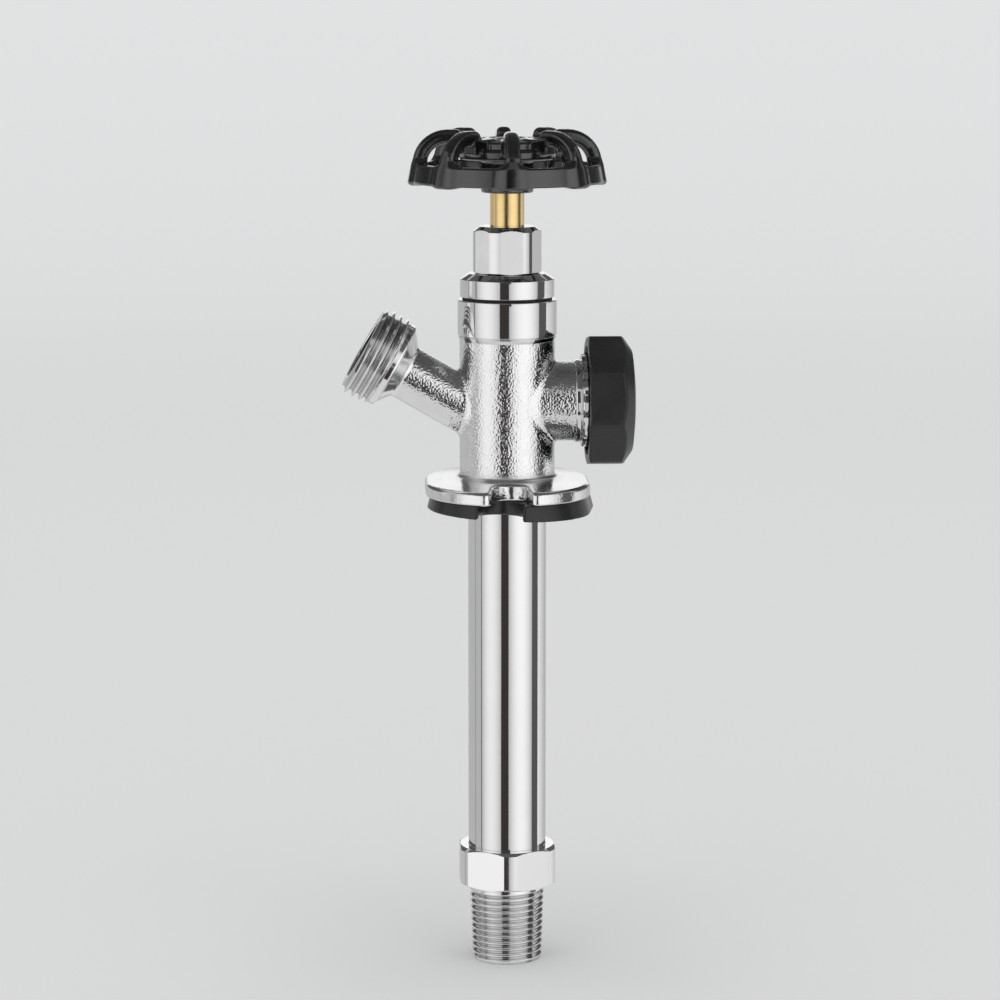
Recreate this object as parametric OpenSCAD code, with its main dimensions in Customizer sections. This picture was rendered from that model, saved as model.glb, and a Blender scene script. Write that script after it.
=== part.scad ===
// Frost free sillcock with a handwheel, a slanted hose spout, a capped
// vacuum breaker and a long barrel with the valve seat at its far end.
// Sizes in mm. The wall face lies at the origin, +Z runs out to the handwheel,
// the spout leans to -X and the vacuum breaker points to +X.

/* [Wall wedge] */
// Thickness of the wedge on the barrel axis
wedge_t = 4.3; // [4:0.1:8]
// Pitch that the wedge gives to the valve, in degrees
wedge_pitch = 2; // [0:0.25:3]
// Gap from the flange rim in to the top edge of the wedge
wedge_inset = 1.3; // [0.5:0.1:2]
// Width of the screw notches in the wedge
wedge_notch_w = 12.4; // [11.5:0.1:13.5]
// Turn of the wedge under the flange, in degrees
wedge_turn = -8; // [-9:0.5:9]
// Shift of the wedge under the flange, to the breaker side
wedge_shift = 0.8; // [0:0.1:1]

/* [Flange] */
// Width of the flange from the spout side to the breaker side
flange_w = 46.5; // [44:0.5:52]
// Length of the flange along the line of its screws
flange_l = 58; // [53:0.5:62]
// Thickness of the flange at the body
flange_t = 4.7; // [4:0.1:7]
// Width of the screw notches in the flange
notch_w = 10.6; // [8:0.1:11]
// Distance from the axis to the screw in its notch
notch_y = 22.5; // [21:0.25:23]

/* [Valve body] */
// Outside diameter of the cast body
body_d = 26.9; // [26.4:0.1:29]
// Height of the cast body from the flange to the neck
body_h = 40.2; // [38:0.1:60]
// Outside diameter of the machined neck
neck_d = 28; // [26.5:0.1:30]
// Height of the machined neck
neck_h = 10.1; // [9.5:0.1:14]
// Diameter of the chamber inside the body
chamber_d = 19; // [18.4:0.1:19.6]

/* [Spout] */
// Angle of the spout above the flange plane, in degrees
spout_angle = 30; // [26:1:36]
// Height of the spout axis over the flange where it crosses the barrel axis
spout_rise = 13.1; // [12:0.1:15]
// Distance from the barrel axis to the spout mouth
spout_reach = 47; // [44:0.2:56]
// Outside diameter of the spout neck
spout_d = 15.5; // [14:0.1:17]
// Diameter of the water way in the spout
spout_bore_d = 10.8; // [8:0.1:11.5]
// Outside diameter of the hose thread
hose_d = 26.7; // [26.4:0.05:27]
// Pitch of the hose thread
hose_pitch = 2.209; // [2.1:0.001:2.3]
// Turns of the hose thread
hose_turns = 4; // [3:1:6]
// Diameter of the spout mouth
mouth_d = 18.6; // [16:0.1:19.5]
// Depth of the spout mouth
mouth_depth = 9; // [7:0.5:10]

/* [Vacuum breaker] */
// Height of the breaker axis over the flange
breaker_rise = 21.3; // [20:0.1:23]
// Outside diameter of the cast breaker stub
stub_d = 22.6; // [22:0.1:23.4]
// Distance from the barrel axis to the end of the cast stub
stub_reach = 19.5; // [19:0.1:22]
// Outside diameter of the threaded ring on the stub
ring_d = 26.2; // [25.4:0.1:27]
// Length of the threaded ring on the stub
ring_len = 4.7; // [4.2:0.1:5.2]
// Width of the eight sided cap across its flats
cap_af = 35.9; // [35:0.1:38]
// Length of the cap
cap_len = 13.4; // [12.5:0.1:15]
// Turn of the cap on its ring, in degrees
cap_turn = 9; // [0:1:44]
// Distance that the vent float travels
float_travel = 2; // [1:0.1:2.4]

/* [Bonnet and packing nut] */
// Outside diameter of the bonnet collar
collar_d = 26.6; // [26:0.1:30]
// Height of the bonnet collar
collar_h = 6.7; // [4.5:0.1:8]
// Thickness of the bonnet gasket
gasket_t = 0.7; // [0.6:0.1:1.6]
// Width of the packing nut across its flats
nut_af = 18; // [17:0.1:19]
// Height of the packing nut
nut_h = 13.2; // [12:0.1:16]
// Turn of the packing nut on its thread, in degrees
nut_turn = 5; // [0:1:60]

/* [Stem] */
// Diameter of the stem between the packing nut and the handwheel
stem_d = 9.6; // [9:0.1:9.8]
// Stem length that shows between the packing nut and the handwheel
stem_show = 9.4; // [9:0.1:16]
// Distance that the stem lifts from shut to full flow
stem_lift = 6.35; // [4:0.05:6.5]
// Diameter of the long rod down to the seat
rod_d = 8; // [7.4:0.1:8.4]

/* [Handwheel] */
// Diameter of the handwheel over the feet of its ribs
wheel_d = 55.3; // [54:0.1:62]
// Height of the handwheel from its rim to the crest of its ribs
wheel_h = 15; // [14:0.1:18]
// Height of the rim band
rim_h = 5.4; // [4:0.1:6]
// Number of ribs
rib_count = 8; // [6:1:8]
// Width of one rib
rib_w = 4.1; // [3.4:0.1:5]
// Depth of one rib
rib_t = 4.1; // [3.6:0.1:4.6]
// Diameter of the hub disc
hub_d = 21.7; // [20:0.1:23]
// Turn of the handwheel at rest, in degrees
wheel_turn = 1.5; // [-10:0.5:10]

/* [Barrel and inlet] */
// Distance from the wall face to the open end of the inlet
inlet_reach = 132; // [112:0.5:340]
// Outside diameter of the barrel tube
tube_d = 22.2; // [21.6:0.1:22.8]
// Wall of the barrel tube
tube_wall = 1.2; // [0.9:0.1:1.5]
// Width of the inlet hexagon across its flats
hex_af = 27; // [25.6:0.1:28]
// Height of the inlet hexagon
hex_h = 11.3; // [10.5:0.1:14]
// Turn of the inlet hexagon, in degrees
hex_turn = 31; // [0:1:60]
// Outside diameter of the pipe thread next to the hexagon
pipe_d = 21.5; // [21.2:0.05:21.7]
// Pitch of the pipe thread
pipe_pitch = 1.814; // [1.75:0.001:1.85]
// Turns of the pipe thread
pipe_turns = 11; // [10:1:12]
// Diameter of the solder socket inside the inlet
socket_d = 15.94; // [15.8:0.01:16]
// Depth of the solder socket
socket_depth = 13; // [11:0.5:14]

/* [Hidden] */
$fn = 96;
// Clearance of a piece that turns or slides in its bore
run_gap = 0.05;
// Clearance of a piece that is screwed, soldered or pressed into another
seat_gap = 0.03;
// Overlap of a cut past the face that it opens
cut = 1;

flange_z = wedge_t;
body_z = flange_z + flange_t;
neck_z = body_z + body_h;
mouth_z = neck_z + neck_h;
collar_z = mouth_z + gasket_t;
collar_top = collar_z + collar_h;
nut_top = collar_top + nut_h;
hub_z = nut_top + stem_show;
rim_z = hub_z + 2.7;
wheel_top = rim_z + wheel_h;
spout_z = body_z + spout_rise;
breaker_z = body_z + breaker_rise;

// Flange and wedge outline
flange_half = (flange_l - flange_w) / 2;
flange_draft = 0.45;
flange_edge = 0.9;
flange_drop = 1;
flange_mid_r = (flange_w / 2 - flange_edge + body_d / 2 - 1) / 2;
wedge_r = flange_w / 2 - wedge_inset;
wedge_flare = 1.6;
wedge_bore_gap = 1.2;

// Spout stations, measured from the barrel axis
hose_depth = 1.3;
hose_len = hose_turns * hose_pitch + 1.2;
shoulder_len = 3.2;
hose_base = spout_reach - hose_len;

// Vacuum breaker stations, measured from the barrel axis
ring_end = stub_reach + ring_len;
vent_bore_r = 7;
vent_seat_r = 9;
vent_seat_x = stub_reach - 5.6;
vent_gasket_t = 1.2;
float_t = 1.8;
float_seal_t = 1;
float_r = 7.7;
float_stem_r = 2;
float_x = vent_seat_x + vent_gasket_t;
retainer_x = float_x + float_t + float_seal_t + float_travel;
retainer_flange_t = 1.6;
retainer_r = 11.4;
vent_hole_ring_r = 5;
vent_hole_r = 1.2;
cap_x = stub_reach + 3;
cap_end = cap_x + cap_len;
cap_wall = 2.3;
cap_bore_r = cap_af / 2 - cap_wall;
cap_chamfer = 3;
cap_corner_r = cap_af / 2 / cos(22.5);

// Bonnet
collar_lip = 2.85;
bonnet_thread_r = collar_d / 2 - collar_lip;
bonnet_z = neck_z - 1.5;
skirt_wall = 1.75;
skirt_gap = 0.8;
skirt_r = min(chamber_d / 2 - skirt_gap, bonnet_thread_r - skirt_wall);
skirt_len = 9;
skirt_z = neck_z - skirt_len;
ring_bore_r = skirt_r - skirt_wall;
ring_bore_len = 10.5;
ring_bore_top = skirt_z + ring_bore_len;
screw_bore_r = ring_bore_r - 0.35;
web_z = collar_top + 0.6;
box_floor = web_z + 1.5;
bonnet_neck_r = 7.2;
box_r = 6.1;
nut_crown = 2.4;
nut_seat = nut_top - nut_crown;
neck_end = nut_seat - 1.2;
packing_top = neck_end - 1.2;

// Stem
stem_r = stem_d / 2;
screw_r = screw_bore_r - 0.1;
screw_top = web_z - stem_lift - 0.4;
ring_z = skirt_z + 2;
ring_wire_r = 0.93;
ring_mid_r = ring_bore_r - run_gap - ring_wire_r;
land_z = ring_z - 2;
shank_r = rod_d / 2 + 1.2;
shank_len = 12;
rod_in_head = 11;
shank_z = land_z - shank_len;
square_w = 6.4;
square_drop = 5.6;
square_top = wheel_top - square_drop;
screw_hole_len = 10;

// Handwheel
foot_r = wheel_d / 2;
arch_inset = 10.8;
arch_r = foot_r - arch_inset;
arch_out = 9.8;
arch_in = arch_out - rib_t;
arch_z = wheel_top - arch_out;
crest_r = arch_r - 1.85;
nose_r = 2.4;
rim_r = foot_r - 1.1;
hub_r = hub_d / 2;
hub_top = wheel_top - 2.2;
hub_t = 3.4;
ledge_r = hub_r + 2.85;
ledge_t = 2.8;
leg_drop = 6.8;
column_r = 7;
screw_floor = hub_top - 2.4;
screw_pit_r = 5;

// Barrel, inlet and seat
tube_r = tube_d / 2;
tube_in_body = 13.5;
tube_in_inlet = 7;
pipe_len = pipe_turns * pipe_pitch + 2.6;
hex_z = pipe_len - inlet_reach;
hex_top = hex_z + hex_h;
tube_end = hex_top - tube_in_inlet;
pipe_depth = 1.25;
pipe_taper = 1 / 32;
orifice_r = 4.75;
crown_h = 1.6;
crown_r = 6.1;
seat_z = tube_end + crown_h;
washer_r = 6.85;
washer_t = 3.6;
holder_r = 8.2;
holder_t = 3.6;
holder_skirt = 2.4;
holder_z = seat_z + washer_t;
rod_z = holder_z + holder_t;
spigot_r = 2.5;
spigot_len = 10;
pin_r = 0.8;
pin_rise = 5.4;
pin_z = rod_z + pin_rise;
pin_x = spigot_r + 0.1;

// Node to build, or "all"

function ring_thread(r, depth, pitch, turns, taper) = [
  for (i = [0 : turns - 1])
    for (q = [[0.06, 1], [0.38, 0], [0.62, 0], [0.94, 1]])
      [r - depth * q[1] - taper * (i + q[0]) * pitch, (i + q[0]) * pitch]
];

module on_spout() {
  translate([0, 0, spout_z])
    rotate([0, spout_angle - 90, 0])
      children();
}

module on_breaker() {
  translate([0, 0, breaker_z])
    rotate([0, 90, 0])
      children();
}

module long_disc(r1, r2, h) {
  for (side = [-1, 1])
    translate([0, side * flange_half, 0])
      cylinder(r1 = r1, r2 = r2, h = h);
  rotate([90, 0, 0])
    linear_extrude(2 * flange_half, center = true)
      polygon([[-r1, 0], [r1, 0], [r2, h], [-r2, h]]);
}

module notches(w, z, h) {
  for (side = [-1, 1]) {
    translate([0, side * notch_y, z])
      cylinder(r = w / 2, h = h);
    translate([-w / 2, side > 0 ? notch_y : -notch_y - flange_l, z])
      cube([w, flange_l, h]);
  }
}

module tube_shape(r_out, r_in, z, h) {
  translate([0, 0, z])
    difference() {
      cylinder(r = r_out, h = h);
      translate([0, 0, -cut])
        cylinder(r = r_in, h = h + 2 * cut);
    }
}

module flange_shape() {
  edge_z = flange_t - flange_drop - flange_edge;
  translate([0, 0, flange_z]) {
    long_disc(flange_w / 2 - flange_draft, flange_w / 2, edge_z);
    translate([0, 0, edge_z])
      long_disc(flange_w / 2, flange_w / 2 - flange_edge, flange_edge);
    translate([0, 0, flange_t - flange_drop])
      long_disc(flange_w / 2 - flange_edge, flange_mid_r, flange_drop * 0.6);
    translate([0, 0, flange_t - flange_drop * 0.4])
      long_disc(flange_mid_r, body_d / 2 - 1, flange_drop * 0.4);
  }
}

module spout_shape() {
  hose_r = hose_d / 2;
  thread = ring_thread(hose_r, hose_depth, hose_pitch, hose_turns, 0);
  on_spout()
    rotate_extrude()
      polygon(concat(
        [[0, 0], [spout_d / 2, 0], [spout_d / 2, hose_base - shoulder_len],
         [hose_r - hose_depth, hose_base]],
        [for (p = thread) [p[0], p[1] + hose_base]],
        [[hose_r - hose_depth, spout_reach - 0.8],
         [hose_r - hose_depth - 0.6, spout_reach], [0, spout_reach]]
      ));
}

module stub_shape() {
  on_breaker()
    rotate_extrude()
      polygon([
        [0, 0], [stub_d / 2 + 1.2, 0], [stub_d / 2 + 1.2, body_d / 2 - 2],
        [stub_d / 2, body_d / 2 + 2], [stub_d / 2, stub_reach],
        [ring_d / 2 - 0.6, stub_reach], [ring_d / 2, stub_reach + 0.6],
        [ring_d / 2, ring_end - 0.6], [ring_d / 2 - 0.6, ring_end],
        [0, ring_end]
      ]);
}

module valve_body() {
  chamber_z = flange_z + tube_in_body;
  color([0.72, 0.73, 0.74])
  difference() {
    union() {
      flange_shape();
      translate([0, 0, flange_z])
        cylinder(r = body_d / 2, h = neck_z - flange_z);
      translate([0, 0, neck_z])
        cylinder(r = neck_d / 2, h = neck_h);
      spout_shape();
      stub_shape();
    }
    translate([0, 0, flange_z - cut])
      cylinder(r = tube_r + seat_gap, h = tube_in_body + cut);
    translate([0, 0, chamber_z - cut])
      cylinder(r = chamber_d / 2, h = neck_z - chamber_z);
    translate([0, 0, bonnet_z - 0.5])
      cylinder(r = bonnet_thread_r + seat_gap, h = mouth_z - bonnet_z + 0.5 + cut);
    on_spout() {
      cylinder(r = spout_bore_d / 2, h = spout_reach);
      translate([0, 0, spout_reach - mouth_depth])
        cylinder(r = mouth_d / 2, h = mouth_depth + cut);
    }
    on_breaker() {
      cylinder(r = vent_bore_r, h = ring_end);
      translate([0, 0, vent_seat_x])
        cylinder(r = vent_seat_r, h = ring_end - vent_seat_x + cut);
    }
    notches(notch_w, flange_z - cut, flange_t + 2 * cut);
  }
}

module wall_wedge() {
  skirt = 1.6;
  color([0.06, 0.06, 0.06])
  difference() {
    translate([wedge_shift, 0, -skirt])
      rotate([0, 0, wedge_turn])
        long_disc(wedge_r + wedge_flare, wedge_r, wedge_t + skirt);
    rotate([0, wedge_pitch, 0])
      translate([-flange_l, -flange_l, -flange_l])
        cube([2 * flange_l, 2 * flange_l, flange_l]);
    translate([0, 0, -2 * skirt])
      cylinder(r = tube_r + wedge_bore_gap, h = wedge_t + 3 * skirt);
    translate([wedge_shift, 0, 0])
      rotate([0, 0, wedge_turn])
        notches(wedge_notch_w, -2 * skirt, wedge_t + 3 * skirt);
  }
}

module barrel_tube() {
  color([0.78, 0.79, 0.8])
    tube_shape(tube_r, tube_r - tube_wall, tube_end, flange_z + tube_in_body - tube_end);
}

module inlet_fitting() {
  pipe_r = pipe_d / 2;
  thread = ring_thread(pipe_r, pipe_depth, pipe_pitch, pipe_turns, pipe_taper);
  end_r = pipe_r - pipe_depth - pipe_taper * pipe_len;
  turned_r = hex_af / 2 / cos(30) - 0.9;
  chamfer_r = hex_af / 2 - 0.1;
  chamfer_h = 0.7;
  socket_top = socket_depth - inlet_reach;
  color([0.78, 0.79, 0.8])
  difference() {
    union() {
      intersection() {
        translate([0, 0, hex_z])
          rotate([0, 0, hex_turn])
            cylinder(r = hex_af / 2 / cos(30), h = hex_h, $fn = 6);
        translate([0, 0, hex_z])
          rotate_extrude()
            polygon([
              [0, 0], [chamfer_r, 0], [turned_r, chamfer_h],
              [turned_r, hex_h - chamfer_h], [chamfer_r, hex_h], [0, hex_h]
            ]);
      }
      translate([0, 0, hex_z])
        mirror([0, 0, 1])
          rotate_extrude()
            polygon(concat(
              [[0, -cut], [pipe_r - pipe_depth, -cut]],
              thread,
              [[end_r, pipe_len - 0.9], [end_r - 0.6, pipe_len], [0, pipe_len]]
            ));
    }
    translate([0, 0, tube_end])
      difference() {
        cylinder(r = tube_r + seat_gap, h = tube_in_inlet + cut);
        translate([0, 0, -cut])
          cylinder(r = crown_r, h = crown_h + cut);
      }
    translate([0, 0, -inlet_reach])
      cylinder(r = orifice_r, h = seat_z + inlet_reach + cut);
    translate([0, 0, -inlet_reach - cut])
      cylinder(r = socket_d / 2, h = socket_top + inlet_reach + cut);
  }
}

module bonnet() {
  collar_r = collar_d / 2;
  color([0.75, 0.76, 0.77])
    rotate_extrude()
      polygon([
        [ring_bore_r, skirt_z], [skirt_r, skirt_z], [skirt_r, bonnet_z],
        [bonnet_thread_r, bonnet_z], [bonnet_thread_r, collar_z],
        [collar_r, collar_z], [collar_r, collar_top - 1.6],
        [collar_r - 2.2, collar_top], [bonnet_neck_r, collar_top],
        [bonnet_neck_r, neck_end], [box_r, neck_end], [box_r, box_floor],
        [stem_r + run_gap, box_floor], [stem_r + run_gap, web_z],
        [screw_bore_r, web_z], [screw_bore_r, ring_bore_top],
        [ring_bore_r, ring_bore_top]
      ]);
}

module bonnet_gasket() {
  color([0.05, 0.05, 0.05])
    tube_shape(collar_d / 2 - 0.6, bonnet_thread_r + seat_gap, mouth_z, gasket_t);
}

module packing_nut() {
  corner_r = nut_af / 2 / cos(30);
  turned_r = corner_r - 0.75;
  color([0.76, 0.77, 0.78])
  difference() {
    intersection() {
      translate([0, 0, collar_top])
        rotate([0, 0, nut_turn])
          cylinder(r = corner_r, h = nut_h, $fn = 6);
      translate([0, 0, collar_top])
        rotate_extrude()
          polygon([
            [0, 0], [turned_r, 0], [turned_r, nut_h - 1.4],
            [turned_r - 1.7, nut_h], [0, nut_h]
          ]);
    }
    translate([0, 0, collar_top - cut])
      cylinder(r = bonnet_neck_r + seat_gap, h = nut_seat - collar_top + cut);
    translate([0, 0, nut_seat - cut])
      cylinder(r = stem_r + run_gap, h = nut_crown + 2 * cut);
  }
}

module stem_packing() {
  color([0.25, 0.25, 0.25])
    tube_shape(box_r - seat_gap, stem_r + run_gap, box_floor, packing_top - box_floor);
}

module gland_washer() {
  color([0.8, 0.64, 0.3])
    tube_shape(box_r - seat_gap, stem_r + run_gap, packing_top, nut_seat - packing_top);
}

module vent_gasket() {
  color([0.07, 0.07, 0.07])
    on_breaker()
      tube_shape(vent_seat_r - seat_gap, vent_bore_r, vent_seat_x, vent_gasket_t);
}

module vent_retainer() {
  color([0.8, 0.64, 0.3])
  on_breaker()
    difference() {
      union() {
        translate([0, 0, retainer_x])
          cylinder(r = vent_seat_r - seat_gap, h = ring_end - retainer_x);
        translate([0, 0, ring_end])
          cylinder(r = retainer_r, h = retainer_flange_t);
      }
      translate([0, 0, retainer_x - cut])
        cylinder(r = float_stem_r + run_gap, h = ring_end - retainer_x + retainer_flange_t + 2 * cut);
      for (i = [0 : 5])
        rotate([0, 0, 60 * i + 30])
          translate([vent_hole_ring_r, 0, retainer_x - cut])
            cylinder(r = vent_hole_r, h = ring_end - retainer_x + retainer_flange_t + 2 * cut);
    }
}

module vent_cap() {
  floor_x = cap_end - cap_wall;
  color([0.05, 0.05, 0.05])
  on_breaker()
    union() {
      difference() {
        intersection() {
          translate([0, 0, cap_x])
            rotate([0, 0, 22.5 - cap_turn])
              cylinder(r = cap_corner_r, h = cap_len, $fn = 8);
          rotate_extrude()
            polygon([
              [0, cap_x], [cap_corner_r + 0.2, cap_x],
              [cap_corner_r + 0.2, cap_end - cap_chamfer - 0.9],
              [cap_af / 2 - cap_chamfer - 0.5, cap_end - 0.6],
              [cap_af / 2 - cap_chamfer - 5, cap_end], [0, cap_end]
            ]);
        }
        translate([0, 0, cap_x - cut])
          cylinder(r = cap_bore_r, h = floor_x - cap_x + cut);
      }
      for (i = [0 : 7])
        rotate([0, 0, 45 * i + 22.5 - cap_turn])
          translate([ring_d / 2 + seat_gap, -1, cap_x + 0.6])
            cube([cap_bore_r - ring_d / 2 + 0.8, 2, floor_x - cap_x]);
    }
}

module vent_float() {
  color([0.85, 0.85, 0.8])
    on_breaker()
      translate([0, 0, float_x]) {
        cylinder(r = float_r, h = float_t);
        cylinder(r = float_stem_r, h = retainer_x - float_x + ring_len);
      }
}

module float_seal() {
  color([0.07, 0.07, 0.07])
    on_breaker()
      tube_shape(float_r, float_stem_r + seat_gap, float_x + float_t, float_seal_t);
}

module stem_head() {
  color([0.8, 0.64, 0.3])
  difference() {
    union() {
      rotate_extrude()
        polygon(concat(
          [[0, shank_z], [shank_r, shank_z], [shank_r, land_z], [screw_r, land_z],
           [screw_r, ring_z - 1.05], [ring_mid_r - ring_wire_r, ring_z - 1.05],
           [ring_mid_r - ring_wire_r, ring_z + 1.05], [screw_r, ring_z + 1.05],
           [screw_r, screw_top - 0.8], [screw_r - 0.8, screw_top], [stem_r, screw_top],
           [stem_r, hub_z], [0, hub_z]]
        ));
      translate([-square_w / 2, -square_w / 2, hub_z - cut])
        cube([square_w, square_w, square_top - hub_z + cut]);
    }
    translate([0, 0, shank_z - cut])
      cylinder(r = rod_d / 2 + seat_gap, h = rod_in_head + cut);
    translate([0, 0, square_top - screw_hole_len])
      cylinder(r = 2 + seat_gap, h = screw_hole_len + cut);
  }
}

module stem_ring() {
  color([0.05, 0.05, 0.05])
    translate([0, 0, ring_z])
      rotate_extrude()
        translate([ring_mid_r, 0])
          circle(r = ring_wire_r);
}

module stem_rod() {
  color([0.8, 0.64, 0.3])
  difference() {
    translate([0, 0, rod_z])
      cylinder(r = rod_d / 2, h = shank_z + rod_in_head - rod_z);
    translate([0, 0, rod_z - cut])
      cylinder(r = spigot_r + run_gap, h = spigot_len + 0.3 + cut);
    translate([pin_x, -rod_d, pin_z])
      rotate([-90, 0, 0])
        cylinder(r = pin_r + seat_gap, h = 2 * rod_d);
  }
}

module swivel_pin() {
  half = sqrt(pow(rod_d / 2, 2) - pow(pin_x + pin_r, 2));
  color([0.7, 0.7, 0.7])
    translate([pin_x, -half, pin_z])
      rotate([-90, 0, 0])
        cylinder(r = pin_r, h = 2 * half);
}

module rib_profile() {
  translate([arch_r, arch_z])
    intersection() {
      difference() {
        circle(r = arch_out);
        circle(r = arch_in);
      }
      square([arch_out, arch_out]);
    }
  polygon([
    [arch_r + arch_in, arch_z], [arch_r + arch_out, arch_z],
    [foot_r, rim_z], [foot_r - rib_t, rim_z]
  ]);
  translate([crest_r, wheel_top - rib_t])
    square([arch_r - crest_r, rib_t]);
  translate([crest_r, wheel_top - nose_r])
    intersection() {
      circle(r = nose_r);
      translate([-nose_r, 0])
        square([nose_r, nose_r]);
    }
  translate([column_r, wheel_top - leg_drop])
    square([crest_r - column_r, leg_drop - nose_r]);
  translate([crest_r, wheel_top - leg_drop])
    square([arch_r - 0.5 - crest_r, leg_drop - nose_r]);
}

module handwheel() {
  color([0.04, 0.04, 0.04])
  difference() {
    union() {
      rotate_extrude()
        polygon([
          [rim_r - 3.4, rim_z + 0.4], [rim_r, rim_z],
          [rim_r - 0.9, rim_z + rim_h], [rim_r - 3, rim_z + rim_h]
        ]);
      rotate_extrude()
        polygon([
          [0, hub_z], [column_r, hub_z], [column_r, hub_top - hub_t - ledge_t],
          [ledge_r, hub_top - hub_t - ledge_t], [ledge_r, hub_top - hub_t],
          [hub_r, hub_top - hub_t], [hub_r, hub_top - 0.8],
          [hub_r - 0.8, hub_top], [0, hub_top]
        ]);
      for (i = [0 : rib_count - 1])
        rotate([0, 0, wheel_turn + 360 * i / rib_count])
          rotate([90, 0, 0])
            linear_extrude(rib_w, center = true)
              rib_profile();
    }
    translate([-square_w / 2 - seat_gap, -square_w / 2 - seat_gap, hub_z - cut])
      cube([square_w + 2 * seat_gap, square_w + 2 * seat_gap, screw_floor - hub_z + 2 * cut]);
    translate([0, 0, screw_floor])
      cylinder(r = screw_pit_r, h = wheel_top - screw_floor);
  }
}

module handle_screw() {
  head_r = 4.7;
  color([0.7, 0.7, 0.7])
  difference() {
    rotate_extrude()
      polygon([
        [0, square_top - 9], [2, square_top - 9], [2, screw_floor],
        [head_r, screw_floor], [head_r, screw_floor + 1], [head_r - 1.4, hub_top - 0.1],
        [0, hub_top - 0.1]
      ]);
    for (a = [0, 90])
      rotate([0, 0, a])
        translate([-2.2, -0.5, hub_top - 1.5])
          cube([4.4, 1, 2]);
  }
}

module washer_holder() {
  color([0.8, 0.64, 0.3])
    difference() {
      rotate_extrude()
        polygon([
          [0, holder_z], [washer_r + seat_gap, holder_z],
          [washer_r + seat_gap, holder_z - holder_skirt], [holder_r, holder_z - holder_skirt],
          [holder_r, rod_z - 0.8], [holder_r - 0.8, rod_z], [spigot_r, rod_z],
          [spigot_r, pin_z - 1], [spigot_r - 0.8, pin_z - 1], [spigot_r - 0.8, pin_z + 1],
          [spigot_r, pin_z + 1], [spigot_r, rod_z + spigot_len], [0, rod_z + spigot_len]
        ]);
      translate([0, 0, holder_z - cut])
        cylinder(r = 1.5 + seat_gap, h = holder_t + cut);
    }
}

module seat_washer() {
  color([0.05, 0.05, 0.05])
    tube_shape(washer_r, 1.5 + seat_gap, seat_z, washer_t);
}

module washer_screw() {
  color([0.75, 0.6, 0.3])
    difference() {
      rotate_extrude()
        polygon([
          [0, seat_z - 1.9], [2.2, seat_z - 1.9], [3.2, seat_z - 1], [3.2, seat_z],
          [1.5, seat_z], [1.5, rod_z - 0.4], [0, rod_z - 0.4]
        ]);
      translate([-4, -0.4, seat_z - 3])
        cube([8, 0.8, 1.8]);
    }
}

valve_body();
wall_wedge();
barrel_tube();
inlet_fitting();
bonnet();
bonnet_gasket();
packing_nut();
stem_packing();
gland_washer();
vent_gasket();
vent_retainer();
vent_cap();
vent_float();
float_seal();
stem_head();
stem_ring();
stem_rod();
swivel_pin();
handwheel();
handle_screw();
washer_holder();
seat_washer();
washer_screw();
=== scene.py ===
import math

import bmesh
import bpy
import numpy as np
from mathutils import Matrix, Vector


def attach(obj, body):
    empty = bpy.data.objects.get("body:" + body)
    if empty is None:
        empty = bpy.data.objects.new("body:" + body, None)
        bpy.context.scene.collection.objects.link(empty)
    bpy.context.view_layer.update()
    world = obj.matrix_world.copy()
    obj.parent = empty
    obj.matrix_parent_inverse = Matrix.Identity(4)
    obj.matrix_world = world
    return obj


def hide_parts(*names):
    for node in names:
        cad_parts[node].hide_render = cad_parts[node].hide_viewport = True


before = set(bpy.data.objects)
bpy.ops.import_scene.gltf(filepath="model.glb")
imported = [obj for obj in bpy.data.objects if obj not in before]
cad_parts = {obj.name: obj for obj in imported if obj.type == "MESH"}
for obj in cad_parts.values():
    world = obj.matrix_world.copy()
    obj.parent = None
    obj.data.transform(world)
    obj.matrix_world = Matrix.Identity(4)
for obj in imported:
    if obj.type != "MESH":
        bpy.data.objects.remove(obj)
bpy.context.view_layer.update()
scene = bpy.context.scene
scene.view_settings.view_transform = "Standard"

# Camera
# A long lens one metre in front of the tap, a little towards the spout,
# tipped down by about nine degrees so that the flange shows its upper face.
MM = 0.001
camera_aim = Vector((-2.03, 0.0, 1.885)) * MM
camera_reach = 996.0 * MM
camera_turn = math.radians(-2.3)
camera_drop = math.radians(8.8)
camera_look = Vector((
    -math.sin(camera_turn) * math.cos(camera_drop),
    math.cos(camera_turn) * math.cos(camera_drop),
    -math.sin(camera_drop),
))
camera_data = bpy.data.cameras.new("camera")
camera_data.sensor_width = 36.0
camera_data.lens = 126.0
camera = bpy.data.objects.new("camera", camera_data)
camera.location = camera_aim - camera_look * camera_reach
camera.rotation_euler = camera_look.to_track_quat("-Z", "Y").to_euler()
scene.collection.objects.link(camera)
scene.camera = camera

# Floor and backdrop
# One pale sweep: a level floor under the inlet that curves up into a round
# wall, so that every side of the tap is seen against the same plain paper.
floor_level = -132.0 * MM
floor_reach = 2.6
sweep_bend = 0.9
wall_top = 3.2


def plain_mesh(name, points, faces, material):
    mesh = bpy.data.meshes.new(name)
    mesh.from_pydata([tuple(p) for p in points], [], [tuple(f) for f in faces])
    mesh.shade_smooth()
    mesh.materials.append(material)
    made = bpy.data.objects.new(name, mesh)
    scene.collection.objects.link(made)
    return made


paper = bpy.data.materials.new("pale_paper")
paper.use_nodes = True
paper_tree = paper.node_tree
paper_shader = paper_tree.nodes["Principled BSDF"]
paper_shader.inputs["Base Color"].default_value = (0.90, 0.905, 0.91, 1.0)
paper_shader.inputs["Roughness"].default_value = 0.9
paper_shader.inputs["Specular IOR Level"].default_value = 0.1
paper_shader.inputs["Emission Color"].default_value = (0.80, 0.81, 0.82, 1.0)

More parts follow.
